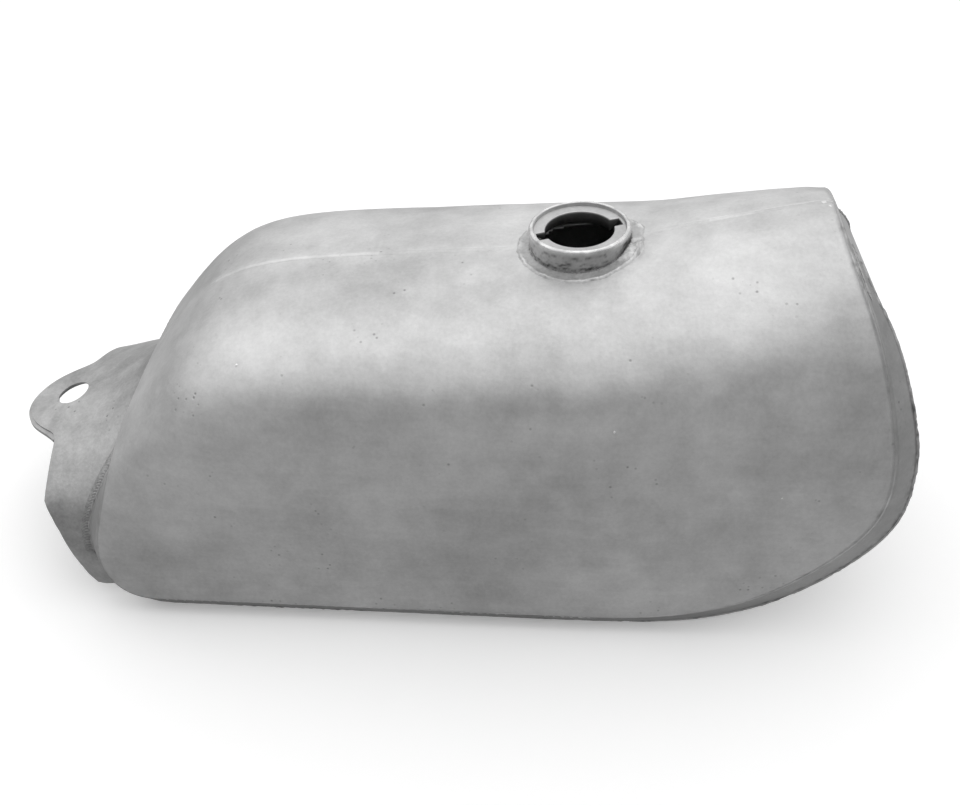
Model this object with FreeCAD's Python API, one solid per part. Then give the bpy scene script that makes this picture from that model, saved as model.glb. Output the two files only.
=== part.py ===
import FreeCAD, Part

import math
import os

Vector = FreeCAD.Vector

# A bare steel fuel tank for a small motorcycle, welded up from pressed and folded sheet.
# X points forward, Y to the rider's left and Z up. While modelling, x = 0 is under the middle
# of the filler, y = 0 is the middle plane and z = 0 is the fold at the foot of the side skins.
# Every piece is moved at the end so that the rear bolt hole's centre is the origin.

# ---- Driving dimensions, millimetres and degrees ----
SHEET = 1.2                  # skins, floors, walls, tunnel and skirt
GAP = 0.06                   # play left between pieces that are welded together
SEAM_HALF = 1.6              # half the width of the ground weld along the top
SEAM_PROUD = 0.15

FLANGE = 15.0                # width of the edge strip along the foot of the skin
FLANGE_TURN = 36.0           # how far the strip is turned in from the skin's own direction
FRONT_WIDENING = 2.5
CORNER_WIDENING = 3.0        # the strip is widest and least turned at the lower front corner
CORNER_TURN = -8.0
NOSE_NARROWING = 8.0         # the strip narrows and turns further in round the nose
NOSE_TURN = 53.0
NOSE_SHARPNESS = 2.5         # how closely the last two keep to the nose's crown
REAR_WIDENING = 1.0
REAR_TURN = 20.0
REAR_CROWN_TURN = -40.0
CREASE_BEAD = 2.0            # width of the weld that joins strip to skin
RIM_BEAD = 2.4               # width of the weld that joins strip to floor and walls
FOLD_SPOTS = 61              # places along one side's fold where the strip's shape is set

FLOOR_FRONT_X = 40.0         # the floors reach from the rear wall to here
FLOOR_REAR_X = -262.0

FILLER_TILT = 4.0            # the filler leans back by this much
FILLER_RIM_Z = 219.0
FILLER_RADIUS = 30.0
FILLER_WALL = 2.6
FILLER_DEPTH = 17.0          # from the rim to the lowest edge of the collar
FILLER_RIM_ROUND = 1.2
SHELF_DROP = 2.6             # from the rim down to the bayonet ring
SHELF_SHEET = 1.5
MOUTH_RADIUS = 20.5
NOTCH_RADIUS = 26.0
NOTCH_WIDTH = 8.0
NOTCH_TURN = 17.0            # the notches' line is turned to the left of straight ahead
RAMP_WALL = 1.5
RAMP_DEPTH = 7.0
RAMP_RISE = 7.0              # slope of the bayonet ramps, degrees
FILLER_BEAD = 4.0

TUNNEL_HALF = 40.0
TUNNEL_REAR_TOP = 68.0       # height of the tunnel's crown at its rear end
TUNNEL_FRONT_TOP = 132.0
TUNNEL_REAR_X = -330.0       # the tunnel is drawn overlong and trimmed to the walls
TUNNEL_FRONT_X = 240.0
TUNNEL_BEAD = 3.0

HOLE_X = -340.0
HOLE_Z = 74.95               # the middle of the tongue's sheet at the hole
HOLE_TILT = 16.8             # the tongue falls towards the rear by this much at the hole
HOLE_RADIUS = 11.0
DOUBLER = 2.5                # plate under the tongue of the skirt
DOUBLER_GROWTH = 1.07        # the plate reaches a little past the tongue
DOUBLER_GAP = 0.2
DOUBLER_HOLE_RADIUS = 14.0
DOUBLER_FRONT_X = -322.0
SKIRT_BEAD = 1.6             # height of the bead that joins the skirt to the rear wall
SKIRT_BEAD_WIDTH = 4.0
SKIRT_BEAD_REACH = 0.35      # how far the bead runs ahead of the skirt's edge
SKIRT_BEAD_FOOT_Z = 26.0     # below this the skirt's edge is left unwelded

TAP_X = -150.0
TAP_Y = 74.0
TAP_RADIUS = 13.0
TAP_LENGTH = 14.0
TAP_THREAD_RADIUS = 7.19     # minor radius of an M16 x 1.5 thread
TAP_BEAD = 3.0
TAP_BEAD_TOP = 0.6

GUIDE_X = 96.0               # front buffer guides: middle of the base plate
GUIDE_Z = 44.0
GUIDE_LENGTH = 46.0
GUIDE_HEIGHT = 30.0
GUIDE_SHEET = 2.0
GUIDE_LIP = 11.0
GUIDE_BEAD = 2.0

# Half sections of the skin: half width, and fall below the ridge as a share of its height.
REAR_SECTION = ((26, 0), (62, 0.03), (88, 0.125), (103, 0.28), (111, 0.5), (114, 0.73), (115, 1))
MIDDLE_SECTION = ((28, 0), (78, 0.047), (105, 0.17), (110, 0.28), (112, 0.45), (114, 0.64), (115, 1))
FORE_SECTION = ((22, 0), (74, 0.1), (98, 0.25), (104, 0.37), (108, 0.5), (111, 0.66), (113, 1))
NOSE_SECTION = ((18, 0), (67, 0.15), (90, 0.303), (99, 0.403), (106, 0.525), (111, 0.7), (112, 1))

# Stations of the skin from rear to front: ridge x, ridge z, foot x and half section.
SKIN_STATIONS = (
    (-300, 80, -330, REAR_SECTION),
    (-274, 117, -306, REAR_SECTION),
    (-250, 151, -284, REAR_SECTION),
    (-210, 187, -238, MIDDLE_SECTION),
    (-130, 195, -150, MIDDLE_SECTION),
    (-50, 201, -60, MIDDLE_SECTION),
    (14, 206, 14, MIDDLE_SECTION),
    (62, 222, 78, FORE_SECTION),
    (112, 234, 150, FORE_SECTION),
    (172, 244, 226, NOSE_SECTION),
)

# Side view of the fold round the side skins, as (x, z), upwards from the level foot.
FRONT_FOLD = ((20, 0), (70, 4), (117, 22), (157, 57), (178, 91), (181.5, 118), (174.5, 156),
              (160, 202), (144, 238), (139, 256))
REAR_FOLD = ((-258, 0), (-278, 4), (-291, 22), (-292, 46), (-284, 77), (-277, 110), (-272, 140))

# The skirt behind the tank: its half sections and its ridge, rear outline and front edge.
SKIRT_FRONT_SECTION = ((16, 0), (48, 0.12), (76, 0.3), (92, 0.5), (99, 0.74), (100, 1))
SKIRT_REAR_SECTION = ((22, 0), (56, 0.1), (84, 0.27), (95, 0.49), (99, 0.74), (100, 1))
SKIRT_STATIONS = (
    (-395, 60, -401, SKIRT_REAR_SECTION),
    (-370, 67, -377, SKIRT_REAR_SECTION),
    (-345, 74, -353, SKIRT_REAR_SECTION),
    (-322, 81, -330, SKIRT_REAR_SECTION),
    (-301, 90, -310, SKIRT_REAR_SECTION),
    (-281, 104, -291, SKIRT_FRONT_SECTION),
    (-262, 122, -274, SKIRT_FRONT_SECTION),
)
SKIRT_FOOT_Z = -6.0

# Seen from above, from the tongue's tip to the front end of the right side.
TONGUE_OUTLINE = ((-370, 0), (-367, -13), (-360, -23.5), (-349, -32.5), (-341, -39))
SKIRT_OUTLINE = ((-338, -51), (-336.3, -68), (-335.5, -84), (-335, -101))

# Seen from the side: just behind the rear wall, and the cut corner below.
SKIRT_FRONT_EDGE = ((-277.5, 125), (-280.2, 104), (-282.6, 92.5), (-289.4, 79.5), (-299, 60),
                    (-303.1, 46), (-303.9, 31), (-300.2, 13), (-289.1, -4))
SKIRT_LOWER_EDGE = ((-303, -5.4), (-308, -4.2), (-312.5, 3), (-319, 18.5), (-325.5, 37), (-330, 45.5),
                    (-335.5, 53))


def mirrored(shape):
    return shape.mirror(Vector(0, 0, 0), Vector(0, 1, 0))


def closed_solid(faces):
    """Sew faces that meet along their edges into one solid with its faces outwards."""
    shell = Part.makeShell(faces)
    shell.sewShape()
    solid = Part.Solid(Part.Shell(shell.Faces))
    if solid.Volume < 0:
        solid.reverse()
    return solid


# ---- Arched sheets: the skin and the skirt ----

def spline_knots(count, degree=3):
    """Clamped, evenly spaced knots and their multiplicities for a row of poles."""
    inner = count - degree
    knots = [float(i) for i in range(inner + 1)]
    mults = [degree + 1] + [1] * (inner - 1) + [degree + 1]
    return knots, mults


def inset_points(points, distance):
    """Move an open row of (across, up) points inwards, square to the row."""
    moved = []
    for i, (across, up) in enumerate(points):
        before = points[max(i - 1, 0)]
        after = points[min(i + 1, len(points) - 1)]
        run = math.hypot(after[0] - before[0], after[1] - before[1])
        moved.append((across + distance * (after[1] - before[1]) / run,
                      up - distance * (after[0] - before[0]) / run))
    return moved


def section_poles(station, foot_z, inset):
    """Poles of one arched section, from the right foot over the ridge to the left foot."""
    ridge_x, ridge_z, foot_x, half = station
    height = ridge_z - foot_z
    left = [(y, ridge_z - fall * height) for y, fall in half]
    right = [(-y, z) for y, z in reversed(left)]
    row = inset_points(right + [(0.0, ridge_z)] + left, inset)
    row[0] = (row[0][0], foot_z)
    row[-1] = (row[-1][0], foot_z)
    lean = (foot_x - ridge_x) / height
    return [Vector(ridge_x + lean * (ridge_z - z), y, z) for y, z in row]


def arch_surface(stations, foot_z=0.0, inset=0.0):
    rows = [section_poles(station, foot_z, inset) for station in stations]
    u_knots, u_mults = spline_knots(len(rows))
    v_knots, v_mults = spline_knots(len(rows[0]))
    surface = Part.BSplineSurface()
    surface.buildFromPolesMultsKnots(rows, u_mults, v_mults, u_knots, v_knots, False, False, 3, 3)
    return surface


def arch_solid(surface):
    """Close an arched surface below with a flat floor and at both ends with flat walls."""
    u_first, u_last, v_first, v_last = surface.bounds()
    right_rear = surface.value(u_first, v_first)
    left_rear = surface.value(u_first, v_last)
    right_front = surface.value(u_last, v_first)
    left_front = surface.value(u_last, v_last)
    rear = surface.uIso(u_first).toShape()
    front = surface.uIso(u_last).toShape()
    right = surface.vIso(v_first).toShape()
    left = surface.vIso(v_last).toShape()
    rear_foot = Part.makeLine(left_rear, right_rear)
    front_foot = Part.makeLine(right_front, left_front)
    outlines = ([right, front_foot, left, rear_foot], [rear, rear_foot], [front, front_foot])
    flats = [Part.Face(Part.Wire(Part.sortEdges(edges)[0])) for edges in outlines]
    return closed_solid([surface.toShape()] + flats)


def hull(inset=0.0):
    return arch_solid(arch_surface(SKIN_STATIONS, 0.0, inset))


# ---- Side-view outlines ----

def side_curve(points, start_way):
    """A smooth side-view curve through points that sets off level, along start_way."""
    spots = [Vector(x, 0, z) for x, z in points]
    ways = [Vector(start_way, 0, 0)] + [Vector(0, 0, 1)] * (len(spots) - 1)
    curve = Part.BSplineCurve()
    curve.interpolate(Points=spots, Tangents=ways, TangentFlags=[True] + [False] * (len(spots) - 1))
    return curve.toShape()


def smooth_curve(spots, shares=None):
    curve = Part.BSplineCurve()
    if shares is None:
        curve.interpolate(Points=spots)
    else:
        curve.interpolate(Points=spots, Parameters=shares)
    return curve.toShape()


def across(face, half=200.0):
    """Sweep a face that lies in the middle plane over the full width."""
    face.translate(Vector(0, -half, 0))
    return face.extrude(Vector(0, 2 * half, 0))


def closed_face(edges, corners):
    """A face bounded by edges and by straight lines through the corners that close them."""
    lines = [Part.makeLine(a, b) for a, b in zip(corners, corners[1:])]
    return Part.Face(Part.Wire(Part.sortEdges(edges + lines)[0]))


def spot(point):
    return Vector(point[0], 0, point[1])


def fold_prism():
    """Everything between the front and rear folds and above the foot, over the full width."""
    high = 300.0
    front = side_curve(FRONT_FOLD, 1)
    rear = side_curve(REAR_FOLD, -1)
    over = [spot(FRONT_FOLD[-1]), Vector(FRONT_FOLD[-1][0], 0, high),
            Vector(REAR_FOLD[-1][0], 0, high), spot(REAR_FOLD[-1])]
    foot = Part.makeLine(spot(REAR_FOLD[0]), spot(FRONT_FOLD[0]))
    return across(closed_face([front, rear, foot], over))


def side_block(side, edge):
    """A block that holds everything further out than edge on one side: -1 right, 1 left."""
    block = Part.makeBox(1000, 300, 700, Vector(-600, edge, -200))
    if side < 0:
        block = mirrored(block)
    return block


def length_block(rear_x, front_x):
    return Part.makeBox(front_x - rear_x, 600, 700, Vector(rear_x, -300, -200))


# ---- The filler's axis ----

def filler_way():
    lean = math.radians(FILLER_TILT)
    return Vector(-math.sin(lean), 0, math.cos(lean))


def filler_point(height):
    """The point of the filler's axis at a height above the rim, or below it if negative."""
    return Vector(0, 0, FILLER_RIM_Z) + filler_way() * height


def filler_tube(radius, low, high):
    return Part.makeCylinder(radius, high - low, filler_point(low), filler_way())


# ---- Skins and the seam between them ----

def make_skins():
    sheet = hull(0.0).cut(hull(SHEET)).common(fold_prism())
    sheet = sheet.cut(filler_tube(FILLER_RADIUS - FILLER_WALL, -80, 20))
    left = sheet.common(side_block(1, SEAM_HALF))
    return mirrored(left), left


def make_top_seam():
    """The weld along the ridge: as thick as the skins and ground nearly flush."""
    width = 2 * (SEAM_HALF - GAP)
    slab = Part.makeBox(1000, width, 400, Vector(-500, -width / 2, 0))
    bead = hull(-SEAM_PROUD).cut(hull(SHEET)).common(fold_prism()).common(slab)
    bead = bead.cut(filler_tube(FILLER_RADIUS + FILLER_BEAD + GAP, -80, 40))
    return bead


# ---- The fold: local frames along the edge of the right skin ----

def fold_wire():
    """The edge of the right skin's outer face, from the nose down, back and up to the rear."""
    face = arch_surface(SKIN_STATIONS).toShape().common(fold_prism())
    face = face.common(side_block(-1, 0.0))
    edges = [edge for edge in face.Faces[0].OuterWire.Edges if edge.BoundBox.YMin < -1.0]
    return Part.Wire(Part.sortEdges(edges)[0])


def fold_frames():
    """At even steps along the fold: the place, the skin's outward way and the way past its edge."""
    surface = arch_surface(SKIN_STATIONS)
    places = fold_wire().discretize(Number=FOLD_SPOTS)
    if places[0].x < places[-1].x:
        places.reverse()
    frames = []
    for i, place in enumerate(places):
        u, v = surface.parameter(place)
        outward = surface.normal(u, v)
        if outward.dot(place - Vector(place.x, 0, 40)) < 0:
            outward = outward * -1
        along = places[min(i + 1, len(places) - 1)] - places[max(i - 1, 0)]
        if i in (0, len(places) - 1):
            along = Vector(0, along.y, 0)
        past = along.cross(outward).normalize()
        if past.dot(place - Vector(-60, place.y, 100)) < 0:
            past = past * -1
        frames.append((place, outward, past))
    return frames


def turned(outward, past, degrees):
    """The way past the edge turned inwards, and the outward way square to it."""
    angle = math.radians(degrees)
    way = past * math.cos(angle) - outward * math.sin(angle)
    face_way = outward * math.cos(angle) + past * math.sin(angle)
    return way, face_way


def strip_shape(outward, past):
    """The strip's width and turn at a place on the fold."""
    crown = 1 - outward.y ** 2
    front = max(0.0, past.x)
    rear = max(0.0, -past.x)
    corner = max(0.0, -2 * past.x * past.z)
    nose = front * crown ** NOSE_SHARPNESS
    width = FLANGE + front * FRONT_WIDENING - nose * NOSE_NARROWING
    width += corner * CORNER_WIDENING + rear * REAR_WIDENING
    turn = FLANGE_TURN + corner * CORNER_TURN + nose * NOSE_TURN
    turn += rear * (REAR_TURN + crown * REAR_CROWN_TURN)
    return width, turn


def rails():
    """Rows of points along the right fold for its two welds, the strip and the pan's edge."""
    names = ("bead_top", "bead_under", "bead_far_top", "bead_far_under", "strip_top", "strip_under",
             "strip_end", "strip_end_under", "rim_start", "rim_start_under")
    rows = {name: [] for name in names}
    for place, outward, past in fold_frames():
        width, turn = strip_shape(outward, past)
        half_way, half_face = turned(outward, past, turn / 2)
        way, face_way = turned(outward, past, turn)
        bead_start = place + half_way * GAP
        bead_end = place + half_way * CREASE_BEAD
        strip_start = bead_end + half_way * GAP
        strip_end = strip_start + way * width
        rim_start = strip_end + way * GAP
        rows["bead_top"].append(bead_start + half_face * SEAM_PROUD)
        rows["bead_under"].append(bead_start - half_face * SHEET)
        rows["bead_far_top"].append(bead_end + half_face * SEAM_PROUD)
        rows["bead_far_under"].append(bead_end - half_face * SHEET)
        rows["strip_top"].append(strip_start)
        rows["strip_under"].append(strip_start - half_face * SHEET)
        rows["strip_end"].append(strip_end)
        rows["strip_end_under"].append(strip_end - face_way * SHEET)
        rows["rim_start"].append(rim_start)
        rows["rim_start_under"].append(rim_start - face_way * SHEET)
    add_pan_edge(rows)
    return rows


def add_pan_edge(rows):
    """The pan is level from side to side, so its edge follows the strip's end in side view."""
    ends = rows["rim_start"]
    rows["rim_end"] = []
    rows["rim_end_under"] = []
    rows["pan_edge"] = []
    rows["pan_edge_under"] = []
    for i, end in enumerate(ends):
        along = ends[min(i + 1, len(ends) - 1)] - ends[max(i - 1, 0)]
        if i in (0, len(ends) - 1):
            run, rise = 0.0, 1.0
        else:
            run, rise = along.x, along.z
        into = Vector(rise, 0, -run).normalize()
        if into.dot(Vector(-60, 0, 100) - Vector(end.x, 0, end.z)) < 0:
            into = into * -1
        edge_way = along.cross(into).normalize()
        if edge_way.y < 0 and abs(along.y) < along.Length * 0.9:
            edge_way = edge_way * -1
        if abs(along.y) >= along.Length * 0.9 and edge_way.z > 0:
            edge_way = edge_way * -1
        rim_end = end + edge_way * RIM_BEAD
        edge = rim_end + edge_way * GAP
        rows["rim_end"].append(rim_end)
        rows["rim_end_under"].append(rim_end + into * SHEET)
        rows["pan_edge"].append(edge)
        rows["pan_edge_under"].append(edge + into * SHEET)


def ribbon(rows):
    """A long solid bounded by four rows of points, given in order round its cross-section."""
    count = len(rows[0])
    shares = [i / (count - 1) for i in range(count)]
    edges = [smooth_curve(row, shares) for row in rows]
    faces = [Part.makeRuledSurface(edges[i], edges[(i + 1) % 4]) for i in range(4)]
    for end in (0, -1):
        a, b, c, d = (row[end] for row in rows)
        faces.append(Part.makeRuledSurface(Part.makeLine(a, b), Part.makeLine(d, c)))
    return closed_solid(faces)


# ---- The pan that closes the shell from below, and the tunnel for the frame tube ----

def left_of(row):
    return [Vector(point.x, -point.y, point.z) for point in row]


def pan_shell(rows):
    """One folded sheet, level from side to side, inside both strips from nose to rear crown."""
    edge = rows["pan_edge"][1:-1]
    under = rows["pan_edge_under"][1:-1]
    return ribbon([edge, left_of(edge), left_of(under), under])


def pan_inside(rows, clearance):
    """Everything above the pan's inner face, less a clearance, over the full width."""
    edge = rows["pan_edge"][1:-1]
    under = rows["pan_edge_under"][1:-1]
    ways = [(b - a).normalize() for a, b in zip(edge, under)]
    places = [Vector(p.x, 0, p.z) + way * clearance for p, way in zip(under, ways)]
    return across(closed_face([smooth_curve(places)], [places[0], places[-1]]))


def tunnel_block(offset):
    """The tunnel as a filled arch, offset mm larger all round, open towards the ground."""
    half = TUNNEL_HALF + offset
    low = -100.0
    wires = []
    for x, top in ((TUNNEL_REAR_X, TUNNEL_REAR_TOP), (TUNNEL_FRONT_X, TUNNEL_FRONT_TOP)):
        spring = top - TUNNEL_HALF
        right_foot = [Vector(x, -half, spring), Vector(x, -half, low)]
        left_foot = [Vector(x, half, low), Vector(x, half, spring)]
        feet = right_foot + left_foot
        lines = [Part.makeLine(a, b) for a, b in zip(feet, feet[1:])]
        crown = Part.Arc(feet[-1], Vector(x, 0, spring + half), feet[0]).toShape()
        wires.append(Part.Wire(lines + [crown]))
    return Part.makeLoft(wires, True, True)


def make_tunnel(rows):
    return tunnel_block(0).cut(tunnel_block(-SHEET)).common(pan_inside(rows, GAP))


def make_tunnel_weld(rows):
    """A fillet inside the tank, where the tunnel meets the walls and floors."""
    band = pan_inside(rows, GAP).cut(pan_inside(rows, TUNNEL_BEAD))
    return tunnel_block(TUNNEL_BEAD).cut(tunnel_block(GAP)).common(band)


def make_pan_pieces(rows):
    pan = pan_shell(rows).cut(tunnel_block(GAP))
    front_wall = pan.common(length_block(FLOOR_FRONT_X + GAP, 400))
    rear_wall = pan.common(length_block(-500, FLOOR_REAR_X - GAP))
    floors = pan.common(length_block(FLOOR_REAR_X, FLOOR_FRONT_X))
    floors = floors.cut(tap_tube(TAP_RADIUS + GAP, -5, 5))
    return front_wall, rear_wall, floors.common(side_block(-1, 0)), floors.common(side_block(1, 0))


# ---- Fuel tap boss ----

def floor_level():
    """The underside of the floor where it is level."""
    return -FLANGE * math.cos(math.radians(FLANGE_TURN)) - CREASE_BEAD


def tap_tube(radius, low, high):
    return Part.makeCylinder(radius, high - low, Vector(TAP_X, TAP_Y, floor_level() + low))


def make_tap_boss():
    """A threaded boss flush with the left floor, for a fuel tap; shown with a plain bore."""
    boss = tap_tube(TAP_RADIUS, 0, TAP_LENGTH)
    return boss.cut(tap_tube(TAP_THREAD_RADIUS, -1, TAP_LENGTH + 1))


def make_tap_weld():
    """A fillet inside the tank, between the boss and the floor."""
    foot = Vector(TAP_X, TAP_Y, floor_level() + SHEET + GAP)
    cone = Part.makeCone(TAP_RADIUS + TAP_BEAD, TAP_RADIUS + TAP_BEAD_TOP, TAP_BEAD, foot)
    return cone.cut(tap_tube(TAP_RADIUS + GAP, 0, TAP_LENGTH))


# ---- Skirt and tongue ----

def skirt_block(inset):
    return arch_solid(arch_surface(SKIRT_STATIONS, SKIRT_FOOT_Z, inset))


def flat(points):
    return [Vector(x, y, 0) for x, y in points]


def upright(face, low=-50.0, high=300.0):
    face.translate(Vector(0, 0, low))
    return face.extrude(Vector(0, 0, high - low))


def skirt_plan():
    """The skirt seen from above: the tongue, the rear edge and its rounded corners."""
    right = flat(TONGUE_OUTLINE + SKIRT_OUTLINE)
    outline = left_of(reversed(right[1:])) + right
    rear_x = outline[-1].x
    front = [outline[-1], Vector(rear_x, -130, 0), Vector(-200, -130, 0), Vector(-200, 130, 0),
             Vector(rear_x, 130, 0), outline[0]]
    return upright(closed_face([smooth_curve(outline)], front))


def doubler_plan():
    """The tongue's outline again, a little larger and cut off straight in front."""
    right = flat((HOLE_X + (x - HOLE_X) * DOUBLER_GROWTH, y * DOUBLER_GROWTH)
                 for x, y in TONGUE_OUTLINE)
    outline = left_of(reversed(right[1:])) + right
    front = [outline[-1], Vector(DOUBLER_FRONT_X, outline[-1].y, 0),
             Vector(DOUBLER_FRONT_X, outline[0].y, 0), outline[0]]
    return upright(closed_face([smooth_curve(outline)], front))


def skirt_side_view():
    """The skirt from the side: its front edge follows the rear wall, its lower corner is cut."""
    front = smooth_curve([spot(point) for point in SKIRT_FRONT_EDGE])
    lower = [spot(point) for point in (SKIRT_FRONT_EDGE[-1],) + SKIRT_LOWER_EDGE]
    behind = Vector(-420, 0, lower[-1].z)
    over = Vector(-420, 0, 200)
    above = Vector(SKIRT_FRONT_EDGE[0][0], 0, 200)
    return across(closed_face([front], lower + [behind, over, above, spot(SKIRT_FRONT_EDGE[0])]))


def hole_way():
    lean = math.radians(HOLE_TILT)
    return Vector(-math.sin(lean), 0, math.cos(lean))


def bolt_hole(radius):
    way = hole_way()
    return Part.makeCylinder(radius, 60, Vector(HOLE_X, 0, HOLE_Z) - way * 30, way)


def make_skirt():
    sheet = skirt_block(0).cut(skirt_block(SHEET))
    return sheet.common(skirt_plan()).common(skirt_side_view()).cut(bolt_hole(HOLE_RADIUS))


def make_doubler():
    upper = SHEET + DOUBLER_GAP
    plate = skirt_block(upper).cut(skirt_block(upper + DOUBLER))
    return plate.common(doubler_plan()).cut(bolt_hole(DOUBLER_HOLE_RADIUS))


def behind_edge(shift):
    """Everything behind the skirt's front edge once that edge is moved forward by shift."""
    edge = [spot(point) for point in SKIRT_FRONT_EDGE]
    corners = [edge[-1], Vector(-420, 0, edge[-1].z), Vector(-420, 0, edge[0].z), edge[0]]
    block = across(closed_face([smooth_curve(edge)], corners))
    block.translate(Vector(shift, 0, 0))
    return block


def make_skirt_weld():
    """A bead on the skirt, along its front edge from one side over the crown to the other."""
    bead = skirt_block(-GAP - SKIRT_BEAD).cut(skirt_block(-GAP))
    bead = bead.common(behind_edge(SKIRT_BEAD_REACH)).cut(behind_edge(-SKIRT_BEAD_WIDTH))
    return bead.cut(Part.makeBox(400, 400, 100, Vector(-500, -200, SKIRT_BEAD_FOOT_Z - 100)))


# ---- Filler ----

def make_collar():
    """The filler's pressed collar: a short tube with a rounded rim, standing on the skins."""
    tube = filler_tube(FILLER_RADIUS, -FILLER_DEPTH, 0)
    rim = [edge for edge in tube.Edges if edge.CenterOfMass.distanceToPoint(filler_point(0)) < 1]
    tube = tube.makeFillet(FILLER_RIM_ROUND, rim)
    bore = filler_tube(FILLER_RADIUS - FILLER_WALL, -60, 60)
    return tube.cut(bore).cut(hull(-GAP))


def notch_block(low, high):
    """Two opposite notches through the bayonet ring, one in front and one behind."""
    corner = Vector(-NOTCH_RADIUS, -NOTCH_WIDTH / 2, low)
    block = Part.makeBox(2 * NOTCH_RADIUS, NOTCH_WIDTH, high - low, corner)
    block.rotate(Vector(0, 0, 0), Vector(0, 0, 1), NOTCH_TURN)
    block.rotate(Vector(0, 0, 0), Vector(0, 1, 0), -FILLER_TILT)
    block.translate(filler_point(0))
    return block


def make_bayonet_ring():
    """A flat shelf inside the collar with a round mouth, two notches and ramped lips below."""
    top = -SHELF_DROP
    low = top - SHELF_SHEET
    ring = filler_tube(FILLER_RADIUS - FILLER_WALL - GAP, low, top)
    lips = filler_tube(MOUTH_RADIUS + RAMP_WALL, low - RAMP_DEPTH, low)
    sloped = Part.makeBox(80, 80, 30, Vector(-40, -40, -30))
    sloped.rotate(Vector(0, 0, 0), Vector(1, 0, 0), RAMP_RISE)
    sloped.rotate(Vector(0, 0, 0), Vector(0, 1, 0), -FILLER_TILT)
    sloped.translate(filler_point(low - RAMP_DEPTH * 0.6))
    ring = ring.fuse(lips.cut(sloped))
    return ring.cut(filler_tube(MOUTH_RADIUS, -60, 20)).cut(notch_block(-60, 20))


def make_filler_weld():
    """A fillet round the foot of the collar, on the skins."""
    ring = filler_tube(FILLER_RADIUS + FILLER_BEAD, -60, 20)
    ring = ring.cut(filler_tube(FILLER_RADIUS + GAP, -60, 20))
    return ring.common(hull(-FILLER_BEAD * 0.8).cut(hull(-SEAM_PROUD - GAP)))


# ---- Front guides ----

def make_guide():
    """A channel on the tunnel's right side that slides over a rubber buffer on the frame."""
    plate_y = -TUNNEL_HALF + SHEET + GAP
    back = Part.makeBox(GUIDE_LENGTH, GUIDE_SHEET, GUIDE_HEIGHT,
                        Vector(GUIDE_X - GUIDE_LENGTH / 2, plate_y, GUIDE_Z - GUIDE_HEIGHT / 2))
    lip = Part.makeBox(GUIDE_LENGTH, GUIDE_LIP, GUIDE_SHEET,
                       Vector(GUIDE_X - GUIDE_LENGTH / 2, plate_y, GUIDE_Z - GUIDE_HEIGHT / 2))
    high_lip = lip.copy()
    high_lip.translate(Vector(0, 0, GUIDE_HEIGHT - GUIDE_SHEET))
    return back.fuse([lip, high_lip]).removeSplitter()


def make_guide_weld():
    """Short fillets above and below a guide, against the tunnel."""
    plate_y = -TUNNEL_HALF + SHEET + GAP
    rear_x = GUIDE_X - GUIDE_LENGTH * 0.4
    length = GUIDE_LENGTH * 0.8
    beads = []
    for z, way in ((GUIDE_Z + GUIDE_HEIGHT / 2 + GAP, 1), (GUIDE_Z - GUIDE_HEIGHT / 2 - GAP, -1)):
        corners = [Vector(rear_x, plate_y, z), Vector(rear_x, plate_y + GUIDE_BEAD, z),
                   Vector(rear_x, plate_y, z + way * GUIDE_BEAD), Vector(rear_x, plate_y, z)]
        beads.append(Part.Face(Part.makePolygon(corners)).extrude(Vector(length, 0, 0)))
    return Part.makeCompound(beads)


def make_edge_pieces(rows):
    """The bead along the right crease, the folded edge strip and the bead along its rim."""
    outlines = (("bead_top", "bead_far_top", "bead_far_under", "bead_under"),
                ("strip_top", "strip_end", "strip_end_under", "strip_under"),
                ("rim_start", "rim_end", "rim_end_under", "rim_start_under"))
    return [ribbon([rows[name] for name in outline]) for outline in outlines]


def build():
    rows = rails()
    right_skin, left_skin = make_skins()
    right_bead, right_strip, right_rim = make_edge_pieces(rows)
    front_wall, rear_wall, right_floor, left_floor = make_pan_pieces(rows)
    guide = make_guide()
    guide_weld = make_guide_weld()
    return {
        "right_skin": right_skin,
        "left_skin": left_skin,
        "top_seam_weld": make_top_seam(),
        "right_crease_weld": right_bead,
        "left_crease_weld": mirrored(right_bead),
        "right_edge_strip": right_strip,
        "left_edge_strip": mirrored(right_strip),
        "right_rim_weld": right_rim,
        "left_rim_weld": mirrored(right_rim),
        "front_wall": front_wall,
        "rear_wall": rear_wall,
        "right_floor": right_floor,
        "left_floor": left_floor,
        "frame_tunnel": make_tunnel(rows),
        "tunnel_weld": make_tunnel_weld(rows),
        "rear_skirt": make_skirt(),
        "skirt_weld": make_skirt_weld(),
        "tongue_doubler": make_doubler(),
        "filler_collar": make_collar(),
        "bayonet_ring": make_bayonet_ring(),
        "filler_weld": make_filler_weld(),
        "fuel_tap_boss": make_tap_boss(),
        "tap_boss_weld": make_tap_weld(),
        "right_front_guide": guide,
        "left_front_guide": mirrored(guide),
        "right_guide_weld": guide_weld,
        "left_guide_weld": mirrored(guide_weld),
    }


def main():
    os.makedirs("parts", exist_ok=True)
    home = Vector(-HOLE_X, 0, -HOLE_Z)
    for name, shape in build().items():
        shape.translate(home)
        shape.exportStep("parts/" + name + ".step")


main()
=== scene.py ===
import math

import bmesh
import bpy
import numpy as np
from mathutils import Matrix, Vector, noise
from mathutils.bvhtree import BVHTree


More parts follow.
